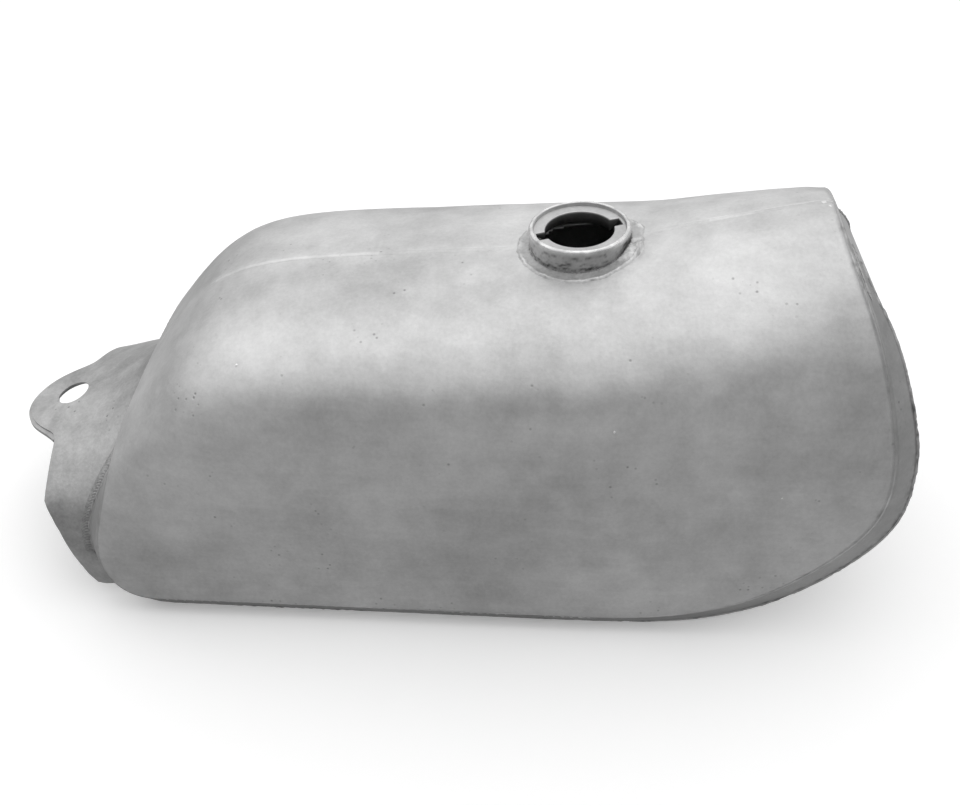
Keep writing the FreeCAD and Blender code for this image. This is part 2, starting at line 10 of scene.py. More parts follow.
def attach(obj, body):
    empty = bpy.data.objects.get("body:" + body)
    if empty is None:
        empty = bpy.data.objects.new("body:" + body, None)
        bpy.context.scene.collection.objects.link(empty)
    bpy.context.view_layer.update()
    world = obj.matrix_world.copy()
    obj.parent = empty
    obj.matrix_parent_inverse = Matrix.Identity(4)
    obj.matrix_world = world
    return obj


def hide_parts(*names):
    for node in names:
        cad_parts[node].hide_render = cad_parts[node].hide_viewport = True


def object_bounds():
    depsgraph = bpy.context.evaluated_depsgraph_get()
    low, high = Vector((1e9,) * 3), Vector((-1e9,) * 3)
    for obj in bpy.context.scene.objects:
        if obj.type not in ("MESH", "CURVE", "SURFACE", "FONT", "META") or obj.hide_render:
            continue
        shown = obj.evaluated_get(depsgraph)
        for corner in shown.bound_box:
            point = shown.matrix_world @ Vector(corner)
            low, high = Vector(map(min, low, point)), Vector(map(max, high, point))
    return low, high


# A bare steel motorcycle fuel tank. Lengths below are millimetres in the shape frame: x = 0 is
# under the filler, z = 0 is the fold at the foot of the skins. to_scene() turns them into the
# part's own frame in metres, whose origin is the rear bolt hole.

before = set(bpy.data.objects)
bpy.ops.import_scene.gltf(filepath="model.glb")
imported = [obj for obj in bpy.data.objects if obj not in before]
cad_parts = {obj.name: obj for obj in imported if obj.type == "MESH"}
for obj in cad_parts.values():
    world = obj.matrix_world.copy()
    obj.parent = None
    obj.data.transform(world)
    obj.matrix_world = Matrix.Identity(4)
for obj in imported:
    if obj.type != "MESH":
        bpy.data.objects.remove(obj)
cad_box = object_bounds()

HOME = np.array((340.0, 0.0, -74.95))   # the shape frame's origin, from the rear bolt hole

# ---- The tank's shape ----

SHEET = 1.2
FILLER_TILT = math.radians(4)
FILLER_RIM_Z = 219.0
FILLER_INNER = 27.4
MOUTH_RADIUS = 20.5
NOTCH_RADIUS = 26.0
NOTCH_HALF = 4.0
NOTCH_TURN = math.radians(17)
SHELF_DROP = 2.6

# A section has pairs of y and the share of the fall from the ridge to the foot. A station has
# the ridge's x and z, the foot's x, and the section there. An edge has pairs of x and z.
REAR_SECTION = ((26, 0), (62, 0.03), (88, 0.125), (103, 0.28), (111, 0.5), (114, 0.73), (115, 1))
MIDDLE_SECTION = ((28, 0), (78, 0.047), (105, 0.17), (110, 0.28), (112, 0.45), (114, 0.64), (115, 1))
FORE_SECTION = ((22, 0), (74, 0.1), (98, 0.25), (104, 0.37), (108, 0.5), (111, 0.66), (113, 1))
NOSE_SECTION = ((18, 0), (67, 0.15), (90, 0.303), (99, 0.403), (106, 0.525), (111, 0.7), (112, 1))
SKIN_STATIONS = (
    (-300, 80, -330, REAR_SECTION),
    (-274, 117, -306, REAR_SECTION),
    (-250, 151, -284, REAR_SECTION),
    (-210, 187, -238, MIDDLE_SECTION),
    (-130, 195, -150, MIDDLE_SECTION),
    (-50, 201, -60, MIDDLE_SECTION),
    (14, 206, 14, MIDDLE_SECTION),
    (62, 222, 78, FORE_SECTION),
    (112, 234, 150, FORE_SECTION),
    (172, 244, 226, NOSE_SECTION),
)
FRONT_FOLD = ((20, 0), (70, 4), (117, 22), (157, 57), (178, 91), (181.5, 118), (174.5, 156),
              (160, 202), (144, 238), (139, 256))
REAR_FOLD = ((-258, 0), (-278, 4), (-291, 22), (-292, 46), (-284, 77), (-277, 110), (-272, 140))

SKIRT_FRONT_SECTION = ((16, 0), (48, 0.12), (76, 0.3), (92, 0.5), (99, 0.74), (100, 1))
SKIRT_REAR_SECTION = ((22, 0), (56, 0.1), (84, 0.27), (95, 0.49), (99, 0.74), (100, 1))
SKIRT_STATIONS = (
    (-395, 60, -401, SKIRT_REAR_SECTION),
    (-370, 67, -377, SKIRT_REAR_SECTION),
    (-345, 74, -353, SKIRT_REAR_SECTION),
    (-322, 81, -330, SKIRT_REAR_SECTION),
    (-301, 90, -310, SKIRT_REAR_SECTION),
    (-281, 104, -291, SKIRT_FRONT_SECTION),
    (-262, 122, -274, SKIRT_FRONT_SECTION),
)
SKIRT_FOOT_Z = -6.0
SKIRT_FRONT_EDGE = ((-277.5, 125), (-280.2, 104), (-282.6, 92.5), (-289.4, 79.5), (-299, 60),
                    (-303.1, 46), (-303.9, 31), (-300.2, 13), (-289.1, -4))

# The strip's width in mm and its turn from the skin in degrees, and how both change round it.
FLANGE = 15.0
FLANGE_TURN = 36.0
FRONT_WIDENING = 2.5
CORNER_WIDENING = 3.0
CORNER_TURN = -8.0
NOSE_NARROWING = 8.0
NOSE_TURN = 53.0
NOSE_SHARPNESS = 2.5
REAR_WIDENING = 1.0
REAR_TURN = 20.0
REAR_CROWN_TURN = -40.0
CREASE_BEAD = 2.0
RIM_GAP = 0.9


def to_scene(points):
    """Millimetres in the shape frame to metres in the part's own frame."""
    return (np.asarray(points, dtype=float) + HOME) / 1000.0


# ---- Curves and surfaces ----

def basis(count, places):
    """Clamped, evenly spaced cubic B-spline weights: one row for each place."""
    places = np.asarray(places, dtype=float)
    knots = np.array([0.0] * 3 + list(range(count - 2)) + [count - 3.0] * 3)
    inside = np.clip(places, 0, count - 3 - 1e-9)
    weights = [(inside >= a) & (inside < b) for a, b in zip(knots, knots[1:])]
    weights = [w.astype(float) for w in weights]
    for degree in (1, 2, 3):
        higher = []
        for i in range(len(weights) - 1):
            value = np.zeros_like(inside)
            rise = knots[i + degree] - knots[i]
            if rise > 0:
                value = value + (inside - knots[i]) / rise * weights[i]
            fall = knots[i + degree + 1] - knots[i + 1]
            if fall > 0:
                value = value + (knots[i + degree + 1] - inside) / fall * weights[i + 1]
            higher.append(value)
        weights = higher
    return np.array(weights).T


def section_poles(station, foot_z):
    """The spline poles of one station, from the right foot over the ridge to the left foot."""
    ridge_x, ridge_z, foot_x, half = station
    height = ridge_z - foot_z
    left = [(y, ridge_z - fall * height) for y, fall in half]
    right = [(-y, z) for y, z in reversed(left)]
    lean = (foot_x - ridge_x) / height
    row = right + [(0.0, ridge_z)] + left
    return [(ridge_x + lean * (ridge_z - z), y, z) for y, z in row]


class Arch:
    """An arched sheet: u runs from the rear (0) to the front (u_top), and v from the right
    foot (-1) over the ridge (0) to the left foot (1).
    """

    def __init__(self, stations, foot_z):
        self.poles = np.array([section_poles(station, foot_z) for station in stations])
        self.u_top = len(self.poles) - 3.0
        self.v_top = self.poles.shape[1] - 3.0

    def at(self, u, v):
        across = self.v_top * (0.5 + 0.5 * np.asarray(v, dtype=float))
        u_weights = basis(self.poles.shape[0], u)
        v_weights = basis(self.poles.shape[1], across)
        return np.einsum("ni,nj,ijk->nk", u_weights, v_weights, self.poles)

    def normal(self, u, v):
        step = 1e-3
        along = self.at(np.minimum(u + step, self.u_top), v) - self.at(np.maximum(u - step, 0), v)
        down = self.at(u, np.minimum(v + step, 1)) - self.at(u, np.maximum(v - step, -1))
        way = np.cross(along, down)
        return way / np.linalg.norm(way, axis=1)[:, None]

    def meet(self, v, edge, u_low, u_high):
        """Where each line of constant v crosses a side-view edge that gives x for z."""
        low = np.full(len(v), float(u_low))
        high = np.full(len(v), float(u_high))
        for _ in range(40):
            middle = (low + high) / 2
            points = self.at(middle, v)
            before = points[:, 0] < edge(points[:, 2])
            low = np.where(before, middle, low)
            high = np.where(before, high, middle)
        return (low + high) / 2


def smooth_line(points, start_way=None, steps=60):
    """A dense row of points on a cubic spline through the given ones."""
    spots = np.array(points, dtype=float)
    gaps = np.linalg.norm(np.diff(spots, axis=0), axis=1)
    slopes = np.diff(spots, axis=0) / gaps[:, None]
    count = len(spots)
    table = np.zeros((count, count))
    right = np.zeros_like(spots)
    table[0, 0] = 2
    table[0, 1] = 1
    right[0] = 3 * slopes[0]
    if start_way is not None:
        table[0, :2] = (1, 0)
        right[0] = start_way
    table[-1, -1] = 2
    table[-1, -2] = 1
    right[-1] = 3 * slopes[-1]
    for i in range(1, count - 1):
        table[i, i - 1:i + 2] = (gaps[i], 2 * (gaps[i - 1] + gaps[i]), gaps[i - 1])
        right[i] = 3 * (gaps[i] * slopes[i - 1] + gaps[i - 1] * slopes[i])
    ways = np.linalg.solve(table, right)
    line = []
    for i in range(count - 1):
        for t in np.arange(steps) / steps:
            h00 = 2 * t ** 3 - 3 * t ** 2 + 1
            h10 = t ** 3 - 2 * t ** 2 + t
            h01 = 3 * t ** 2 - 2 * t ** 3
            h11 = t ** 3 - t ** 2
            line.append(h00 * spots[i] + h10 * gaps[i] * ways[i] + h01 * spots[i + 1]
                        + h11 * gaps[i] * ways[i + 1])
    line.append(spots[-1])
    return np.array(line)


def side_edge(points, start_way=None):
    """A side-view edge as a function that gives x for z."""
    line = smooth_line(points, start_way)
    order = np.argsort(line[:, 1])
    heights = line[order, 1]
    places = line[order, 0]
    return lambda z: np.interp(z, heights, places)


SKIN = Arch(SKIN_STATIONS, 0.0)
SKIRT = Arch(SKIRT_STATIONS, SKIRT_FOOT_Z)
FRONT_EDGE = side_edge(FRONT_FOLD, (1.0, 0.0))
REAR_EDGE = side_edge(REAR_FOLD, (-1.0, 0.0))


# ---- Meshes ----

def new_object(name, points, faces, material):
    """A smooth mesh object from points in millimetres."""
    mesh = bpy.data.meshes.new(name)
    mesh.from_pydata([tuple(p) for p in to_scene(points)], [], faces)
    mesh.update()
    for polygon in mesh.polygons:
        polygon.use_smooth = True
    obj = bpy.data.objects.new(name, mesh)
    bpy.context.scene.collection.objects.link(obj)
    mesh.materials.append(material)
    return obj


def grid_faces(rows, columns, flip=False, closed=False):
    """Four-sided faces over a grid; closed joins each row's last point to its first."""
    faces = []
    last = columns if closed else columns - 1
    for i in range(rows - 1):
        for j in range(last):
            a = i * columns + j
            b = i * columns + (j + 1) % columns
            face = (a, b, b + columns, a + columns)
            faces.append(face[::-1] if flip else face)
    return faces


def grid_object(name, rows, material, flip=False, closed=False):
    """A smooth sheet through a grid of points given row by row."""
    table = np.array(rows)
    points = table.reshape(-1, 3)
    faces = grid_faces(table.shape[0], table.shape[1], flip, closed)
    return new_object(name, points, faces, material)


def set_values(obj, name, values):
    """Keep one number for each vertex, which the material reads."""
    attribute = obj.data.attributes.new(name, "FLOAT", "POINT")
    attribute.data.foreach_set("value", np.asarray(values, dtype=np.float32))


def thicken(obj):
    """Give a drawn outer face the thickness of the sheet, inwards."""
    solid = obj.modifiers.new("sheet", "SOLIDIFY")
    solid.thickness = SHEET / 1000
    solid.offset = -1.0


def drop_loose_points(obj):
    mesh = bmesh.new()
    mesh.from_mesh(obj.data)
    loose = [vertex for vertex in mesh.verts if not vertex.link_faces]
    bmesh.ops.delete(mesh, geom=loose, context="VERTS")
    mesh.to_mesh(obj.data)
    mesh.free()


def bumps(points, size, seed, octaves):
    """Smooth noise, about -1 to 1, for each point, with lumps of the given size in mm."""
    shift = Vector((seed * 17.3, seed * 5.1, seed * 9.7))
    return np.array([noise.fractal(Vector(p) / size + shift, 0.6, 2.1, octaves) for p in points])


def ramp(values, start, end):
    """Rises from 0 at start to 1 at end, and is held outside."""
    return np.clip((values - start) / (end - start), 0, 1)


def bell(values, centre, width):
    """1 at the centre, falling off smoothly over about the width."""
    return np.exp(-((values - centre) / width) ** 2)


def part_of(obj, nodes):
    """The piece rides on the tank, and stands for the given CAD nodes."""
    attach(obj, "root")
    if nodes:
        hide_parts(*nodes)


# ---- Materials ----

class Wiring:
    """Short calls that add and link the nodes of one material or of the world."""

    def __init__(self, owner):
        owner.use_nodes = True
        self.nodes = owner.node_tree.nodes
        self.links = owner.node_tree.links

    def new(self, kind, **values):
        node = self.nodes.new(kind)
        for name, value in values.items():
            node.inputs[name].default_value = value
        return node

    def attribute(self, name):
        node = self.nodes.new("ShaderNodeAttribute")
        node.attribute_name = name
        return node.outputs["Fac"]

    def noise(self, place, scale, detail, roughness):
        node = self.new("ShaderNodeTexNoise", Scale=scale, Detail=detail, Roughness=roughness)
        self.links.new(place, node.inputs["Vector"])
        return node.outputs["Fac"]

    def span(self, source, low, high, to_low, to_high, kind="LINEAR"):
        """Map source from low..high to to_low..to_high, held at the ends."""
        node = self.nodes.new("ShaderNodeMapRange")
        node.interpolation_type = kind
        for slot, value in zip((1, 2, 3, 4), (low, high, to_low, to_high)):
            node.inputs[slot].default_value = value
        self.links.new(source, node.inputs[0])
        return node.outputs[0]

    def combine(self, kind, first, second):
        """A sum, product or other operation on two outputs or numbers."""
        node = self.nodes.new("ShaderNodeMath")
        node.operation = kind
        for slot, value in enumerate((first, second)):
            if isinstance(value, (int, float)):
                node.inputs[slot].default_value = value
            else:
                self.links.new(value, node.inputs[slot])
        return node.outputs[0]

    def add(self, first, second):
        return self.combine("ADD", first, second)

    def times(self, first, second):
        return self.combine("MULTIPLY", first, second)


def streaks_along(wiring, place):
    """Long faint brush marks."""
    node = wiring.new("ShaderNodeMapping", Scale=(26.0, 60.0, 260.0))
    wiring.links.new(place, node.inputs["Vector"])
    return wiring.noise(node.outputs[0], 1.0, 3.0, 0.5)


def pit_pattern(wiring, place, amount):
    """Round pits that gather in patches."""
    cells = wiring.new("ShaderNodeTexVoronoi", Scale=190.0, Randomness=1.0)
    wiring.links.new(place, cells.inputs["Vector"])
    spots = wiring.span(cells.outputs["Distance"], 0.08, 0.2, 1.0, 0.0)
    patches = wiring.span(wiring.noise(place, 30.0, 2.0, 0.5), 0.58, 0.68, 0.0, 1.0)
    return wiring.times(wiring.times(spots, patches), amount)


def steel(name, tone, roughness, grain=1.0, metallic=0.55, pits=1.0):
    """Blasted bare steel: cloudy tone, fine grain, scattered pits, bright rubbed edges and dark scale,
    with painted highlights and painted shade.

    One mesh value lightens the colour, for rubbed edges and for painted highlights; the other, dark,
    darkens it, for scale left on the steel and for painted shade.
    """
    material = bpy.data.materials.new(name)
    wiring = Wiring(material)
    shader = wiring.nodes["Principled BSDF"]
    place = wiring.nodes.new("ShaderNodeTexCoord").outputs["Object"]
    clouds = wiring.noise(place, 11.0, 4.0, 0.55)
    blotches = wiring.noise(place, 48.0, 5.0, 0.6)
    fine = wiring.noise(place, 420.0, 4.0, 0.65)
    pit = pit_pattern(wiring, place, pits)

    shade = wiring.add(wiring.span(clouds, 0.3, 0.7, -0.16, 0.16),
                       wiring.span(blotches, 0.3, 0.7, -0.1 * grain, 0.1 * grain))
    shade = wiring.add(shade, wiring.span(fine, 0.3, 0.7, -0.06 * grain, 0.06 * grain))
    shade = wiring.add(shade, wiring.span(streaks_along(wiring, place), 0.35, 0.65, -0.02, 0.02))
    shade = wiring.times(wiring.add(shade, 1.0), tone)
    shade = wiring.times(shade, wiring.span(pit, 0.0, 1.0, 1.0, 0.55))
    # Rubbed edges and painted highlights lighten the colour.
    worn_and_sheen = wiring.times(wiring.attribute("wear_and_sheen"), wiring.span(blotches, 0.35, 0.6, 0.5, 1.0))
    shade = wiring.add(shade, wiring.times(worn_and_sheen, 0.35))
    # Scale and painted shade darken it.
    scale_and_shade = wiring.times(wiring.attribute("dark"), wiring.span(fine, 0.3, 0.55, 0.75, 1.0))
    shade = wiring.times(shade, wiring.span(scale_and_shade, 0.0, 1.0, 1.0, 0.16))
    colour = wiring.nodes.new("ShaderNodeCombineColor")
    for channel in range(3):
        wiring.links.new(shade, colour.inputs[channel])
    wiring.links.new(colour.outputs[0], shader.inputs["Base Color"])

    shader.inputs["Metallic"].default_value = metallic
    rough = wiring.span(blotches, 0.3, 0.7, roughness - 0.05, roughness + 0.06)
    rough = wiring.combine("SUBTRACT", rough, wiring.times(worn_and_sheen, 0.12))
    wiring.links.new(rough, shader.inputs["Roughness"])

    height = wiring.add(wiring.times(fine, 0.5 * grain), wiring.times(blotches, 0.8))
    height = wiring.combine("SUBTRACT", height, pit)
    bump = wiring.new("ShaderNodeBump", Strength=0.35, Distance=0.0004)
    wiring.links.new(height, bump.inputs["Height"])
    wiring.links.new(bump.outputs[0], shader.inputs["Normal"])
    return material


SHEET_STEEL = steel("sheet_steel", 0.6, 0.4, metallic=0.6)
# A darker copy of the sheet steel for the strip and crease: painted shade, as the strip turns down and
# away from the light.
SHADED_BAND_STEEL = steel("band_steel", 0.46, 0.42, metallic=0.6)
SKIRT_STEEL = steel("skirt_steel", 0.43, 0.44, grain=2.0, metallic=0.55, pits=1.4)
WELD_STEEL = steel("weld_steel", 0.45, 0.46, grain=2.4, metallic=0.35, pits=1.6)
COLLAR_STEEL = steel("collar_steel", 0.52, 0.34, grain=1.3, metallic=0.6)
BRIGHT_STEEL = steel("bright_steel", 0.9, 0.3, metallic=0.5, pits=0.0)
INSIDE_STEEL = steel("inside_steel", 0.33, 0.6, grain=2.0)


# ---- Skins ----

SKIN_ROWS = 120
SKIN_COLUMNS = 210
SKIN_MIDDLE = 3.6                       # the u of a section between the filler and the rear
SKIN_WAVES = ((0.34, 62, 1), (0.1, 19, 2), (0.025, 6, 3))     # height, size and seed of each
ROLL_HEIGHT = 0.5
ROLL_REACH = 7.0
BEVEL_HEIGHT = 1.1
BEVEL_REACH = 11.0
BEVEL_FADE = 40.0
FRAME_STEPS = 460
DENTS = (                               # start, end, width and depth of each
    ((128, -32, 228.5), (146, -53, 217.5), 2.2, 0.8),
    ((142, -60, 214), (152, -72, 205), 3.5, 0.4),
    ((-193, -83, 170), (-150, -84, 175), 5.0, 0.2),
    ((120, -107, 116), (126, -109, 96), 4.0, 0.18),
)


def line_length(points):
    """The distance run along a row of points, from 0 at the first."""
    return np.concatenate([[0], np.cumsum(np.linalg.norm(np.diff(points, axis=0), axis=1))])


def skin_grid():
    """Points and outward ways of the left skin, from the ridge to the foot and rear to front."""
    fine = np.linspace(0, 1, 600)
    run = line_length(SKIN.at(np.full(len(fine), SKIN_MIDDLE), fine))
    shares = 1 - (1 - np.linspace(0, 1, SKIN_ROWS)) ** 1.4
    rows_v = np.interp(shares * run[-1], run, fine)
    rear = SKIN.meet(rows_v, REAR_EDGE, 0.0, SKIN_MIDDLE)
    front = SKIN.meet(rows_v, FRONT_EDGE, SKIN_MIDDLE, SKIN.u_top)
    even = np.linspace(0, 1, SKIN_COLUMNS)
    columns = 0.6 * even + 0.4 * (0.5 - 0.5 * np.cos(np.pi * even))
    u = rear[:, None] + (front - rear)[:, None] * columns[None, :]
    v = np.repeat(rows_v[:, None], SKIN_COLUMNS, axis=1)
    points = SKIN.at(u.ravel(), v.ravel())
    ways = SKIN.normal(u.ravel(), np.clip(v.ravel(), 0, 0.999))
    return points.reshape(SKIN_ROWS, SKIN_COLUMNS, 3), ways.reshape(SKIN_ROWS, SKIN_COLUMNS, 3)


SKIN_POINTS, SKIN_WAYS = skin_grid()


def fold_frames():
    """Even steps along the left fold, from the nose down, back and up to the rear.

    Each has its place, the way out of the skin, and the way past the fold, on along the skin.
    """
    points = np.concatenate([SKIN_POINTS[:, -1], SKIN_POINTS[-1, -2::-1], SKIN_POINTS[-2::-1, 0]])
    ways = np.concatenate([SKIN_WAYS[:, -1], SKIN_WAYS[-1, -2::-1], SKIN_WAYS[-2::-1, 0]])
    run = line_length(points)
    steps = np.linspace(0, run[-1], FRAME_STEPS)
    places = np.array([np.interp(steps, run, points[:, k]) for k in range(3)]).T
    outward = np.array([np.interp(steps, run, ways[:, k]) for k in range(3)]).T
    outward /= np.linalg.norm(outward, axis=1)[:, None]
    along = np.gradient(places, axis=0)
    along[0] = (0, 1, 0)
    along[-1] = (0, -1, 0)
    past = np.cross(along, outward)
    past /= np.linalg.norm(past, axis=1)[:, None]
    centre = np.stack([np.full(len(places), -60.0), places[:, 1], np.full(len(places), 100.0)], axis=1)
    away = np.sign(np.sum(past * (places - centre), axis=1))
    past *= away[:, None]
    return places, outward, past


def distance_to(points, marks):
    """The distance from each point to the nearest of a row of marks, block by block."""
    block = 4000
    nearest = []
    for start in range(0, len(points), block):
        gaps = points[start:start + block, None, :] - marks[None, ::3, :]
        nearest.append(np.linalg.norm(gaps, axis=2).min(axis=1))
    return np.concatenate(nearest)


def segment_distance(points, start, end):
    """The distance from each point to a straight stretch."""
    start = np.array(start)
    way = np.array(end) - start
    share = np.clip((points - start) @ way / (way @ way), 0, 1)
    return np.linalg.norm(points - start - share[:, None] * way, axis=1)


FOLD_PLACES, FOLD_OUT, FOLD_PAST = fold_frames()


def mirrored(points, side):
    """Points of the left side (1) as they are, or turned over for the right side (-1)."""
    flipped = np.array(points, dtype=float)
    flipped[..., 1] *= side
    return flipped


def skin_height(points, edge, opening):
    """How far the real skin stands off the drawn one: slow waves, dents and a roll at the fold.

    The waves fade out at the fold, and everything fades out round the filler's opening.
    """
    fade = ramp(edge, 0, 9)
    fade = fade * fade * (3 - 2 * fade)
    wave = sum(height * bumps(points, size, seed, 2) for height, size, seed in SKIN_WAVES)
    for start, end, width, depth in DENTS:
        wave = wave - depth * bell(segment_distance(points, start, end), 0, width)
    roll = ROLL_HEIGHT * edge / ROLL_REACH * np.exp(1 - edge / ROLL_REACH)
    falling = np.exp(-np.maximum(edge - BEVEL_REACH, 0) / BEVEL_FADE)
    bevel = BEVEL_HEIGHT * np.where(edge < BEVEL_REACH, edge / BEVEL_REACH, falling)
    nose = ramp(points[:, 0], 80, 140)
    return (wave * fade + roll * (1 - nose) + bevel * nose) * ramp(opening, 38, 52)


def filler_distance(points):
    """The distance of each point from the filler's axis, near enough for the flat top."""
    return np.hypot(points[:, 0] + 0.07 * (points[:, 2] - FILLER_RIM_Z), points[:, 1])


def build_skin(side, name):
    points = mirrored(SKIN_POINTS, side).reshape(-1, 3)
    ways = mirrored(SKIN_WAYS, side).reshape(-1, 3)
    edge = distance_to(points, mirrored(FOLD_PLACES, side))
    opening = filler_distance(points)
    moved = points + ways * skin_height(points, edge, opening)[:, None]
    faces = grid_faces(SKIN_ROWS, SKIN_COLUMNS, flip=side < 0)
    inside = opening < FILLER_INNER + 0.6
    faces = [face for face in faces if not all(inside[i] for i in face)]
    obj = new_object(name, moved, faces, SHEET_STEEL)
    # A faint painted highlight along the fold near the front, and a lighter line down the ridge.
    wear_and_sheen = 0.04 * bell(edge, 0, 1.6) * (points[:, 0] > 60) + 0.12 * bell(points[:, 1], 0, 6.0)
    set_values(obj, "wear_and_sheen", wear_and_sheen)
    patches = np.clip(bumps(points, 7, 6, 2) * 3 - 0.6, 0, 1)
    set_values(obj, "dark", 0.5 * bell(edge, 0, 2.2) * patches * (points[:, 0] > 120))
    drop_loose_points(obj)
    thicken(obj)
    part_of(obj, [name.replace("_panel", "_skin")])


# ---- The strip round the skin's edge and its two welds ----

def strip_shape():
    """The strip's width and its turn from the skin, for each step of the fold."""
    crown = 1 - FOLD_OUT[:, 1] ** 2
    front = np.maximum(0, FOLD_PAST[:, 0])
    rear = np.maximum(0, -FOLD_PAST[:, 0])
    corner = np.maximum(0, -2 * FOLD_PAST[:, 0] * FOLD_PAST[:, 2])
    nose = front * crown ** NOSE_SHARPNESS
    width = FLANGE + front * FRONT_WIDENING - nose * NOSE_NARROWING
    width = width + corner * CORNER_WIDENING + rear * REAR_WIDENING
    turn = FLANGE_TURN + corner * CORNER_TURN + nose * NOSE_TURN
    turn = turn + rear * (REAR_TURN + crown * REAR_CROWN_TURN)
    return width, np.radians(turn)


STRIP_WIDTH, STRIP_TURN = strip_shape()


def rolled_edge(share):
    """A place on the rounded crease: share 0 is the skin's edge and 1 the strip's."""
    angle = STRIP_TURN * share
    radius = CREASE_BEAD / (2 * np.sin(STRIP_TURN / 2))
    out = -(1 - np.cos(angle)) * radius
    on = np.sin(angle) * radius
    return FOLD_PLACES + FOLD_PAST * on[:, None] + FOLD_OUT * out[:, None]


def strip_way():
    """The way across the strip, from the crease to its outer edge."""
    return FOLD_PAST * np.cos(STRIP_TURN)[:, None] - FOLD_OUT * np.sin(STRIP_TURN)[:, None]


def strip_face():
    """The way out of the strip's face."""
    return FOLD_OUT * np.cos(STRIP_TURN)[:, None] + FOLD_PAST * np.sin(STRIP_TURN)[:, None]


def strip_rim():
    """The middle line of the rough bead along the strip's outer edge."""
    return rolled_edge(1.0) + strip_way() * (STRIP_WIDTH + RIM_GAP)[:, None] - strip_face() * 0.5


def build_crease(side, name):
    """The ground weld along the fold, with a painted highlight low on the nose and painted shade along the
    foot.
    """
    across = np.linspace(0, 1, 9)
    rows = [mirrored(rolled_edge(share), side) for share in across]
    obj = grid_object(name, rows, SHADED_BAND_STEEL, flip=side > 0)
    points = np.array(rows).reshape(-1, 3)
    shares = np.repeat(across, len(FOLD_PLACES))
    # A painted highlight along the crease low on the nose, nearer the skin's side.
    low_front = ramp(points[:, 0], 40, 100) * ramp(points[:, 2], 150, 110)
    set_values(obj, "wear_and_sheen", (0.05 + 0.6 * low_front) * bell(shares, 0.2, 0.3))
    patches = np.clip(bumps(points, 5, 9, 2) * 3 - 0.3, 0, 1)
    nose = (points[:, 0] > 145) & (points[:, 2] > 190)
    # Painted shade along the foot, where the crease turns under towards the floor.
    foot = ramp(points[:, 2], 25, 0) * np.clip(2 * shares, 0, 1)
    set_values(obj, "dark", patches * np.where(nose, 0.45, 0.15) + 0.5 * foot)
    thicken(obj)
    part_of(obj, [name.replace("_crease", "_crease_weld")])


def build_strip(side, name):
    start = rolled_edge(1.0)
    shares = np.linspace(0, 1, 10)
    rows = [start + strip_way() * (STRIP_WIDTH * share)[:, None] for share in shares]
    points = mirrored(np.array(rows), side)
    faces = mirrored(np.array([strip_face()] * len(shares)), side)
    flat = points.reshape(-1, 3)
    height = 0.12 * bumps(flat, 26, 11, 2) + 0.03 * bumps(flat, 6, 12, 2)
    inner = np.repeat(ramp(shares, 0, 0.25), len(start))
    moved = flat + faces.reshape(-1, 3) * (height * inner)[:, None]
    obj = grid_object(name, moved.reshape(points.shape), SHADED_BAND_STEEL, flip=side > 0)
    outer = np.repeat(ramp(shares, 0.72, 1.0), len(start))
    patches = np.clip(bumps(flat, 4, 13, 3) * 2.5 + 0.1, 0, 1)
    scale = 0.8 * outer * ramp(flat[:, 2], 150, 110) * patches
    # Scale by the outer edge up front, and painted shade along the foot, where the strip faces the floor.
    set_values(obj, "dark", scale + 0.5 * ramp(flat[:, 2], 25, 0))
    thicken(obj)
    part_of(obj, [name.replace("_band", "_edge_strip")])


def tube_rows(centres, first, second, radii):
    """Rings of points round a line of centres; radii has a row for each centre."""
    segments = radii.shape[1]
    rows = []
    for k in range(segments):
        angle = 2 * math.pi * k / segments
        way = first * math.cos(angle) + second * math.sin(angle)
        rows.append(centres + way * radii[:, k][:, None])
    return np.array(rows).transpose(1, 0, 2)


def closed_tube(name, rings, material, flip=False):
    """A tube through rings of points, with both ends closed."""
    count, segments = rings.shape[0], rings.shape[1]
    faces = grid_faces(count, segments, flip, closed=True)
    faces.append(tuple(range(segments))[::1 if flip else -1])
    last = (count - 1) * segments
    faces.append(tuple(range(last, last + segments))[::-1 if flip else 1])
    return new_object(name, rings.reshape(-1, 3), faces, material)


def build_rim(side, name):
    """The rough bead along the strip's outer edge."""
    segments = 12
    centres = mirrored(strip_rim(), side)
    way = mirrored(strip_way(), side)
    face = mirrored(strip_face(), side)
    radii = np.zeros((len(centres), segments))
    ragged = 0.25 + 0.75 * np.clip(bumps(centres, 45, 24, 2) * 3 + 0.3, 0, 1)
    for k in range(segments):
        angle = 2 * math.pi * k / segments
        spots = centres + (way * math.cos(angle) + face * math.sin(angle)) * 1.6
        lumps = 0.5 * bumps(spots, 2.8, 21, 3) + 0.25 * bumps(spots, 9, 22, 2)
        radii[:, k] = 1.15 + ragged * lumps
    rings = tube_rows(centres, way, face, radii)
    obj = closed_tube(name, rings, WELD_STEEL, flip=side < 0)
    patches = np.clip(0.2 + bumps(rings.reshape(-1, 3), 3, 23, 3) * 1.4, 0, 1)
    set_values(obj, "dark", 0.8 * patches * np.repeat(ragged, segments))
    part_of(obj, [name.replace("_bead", "_weld")])


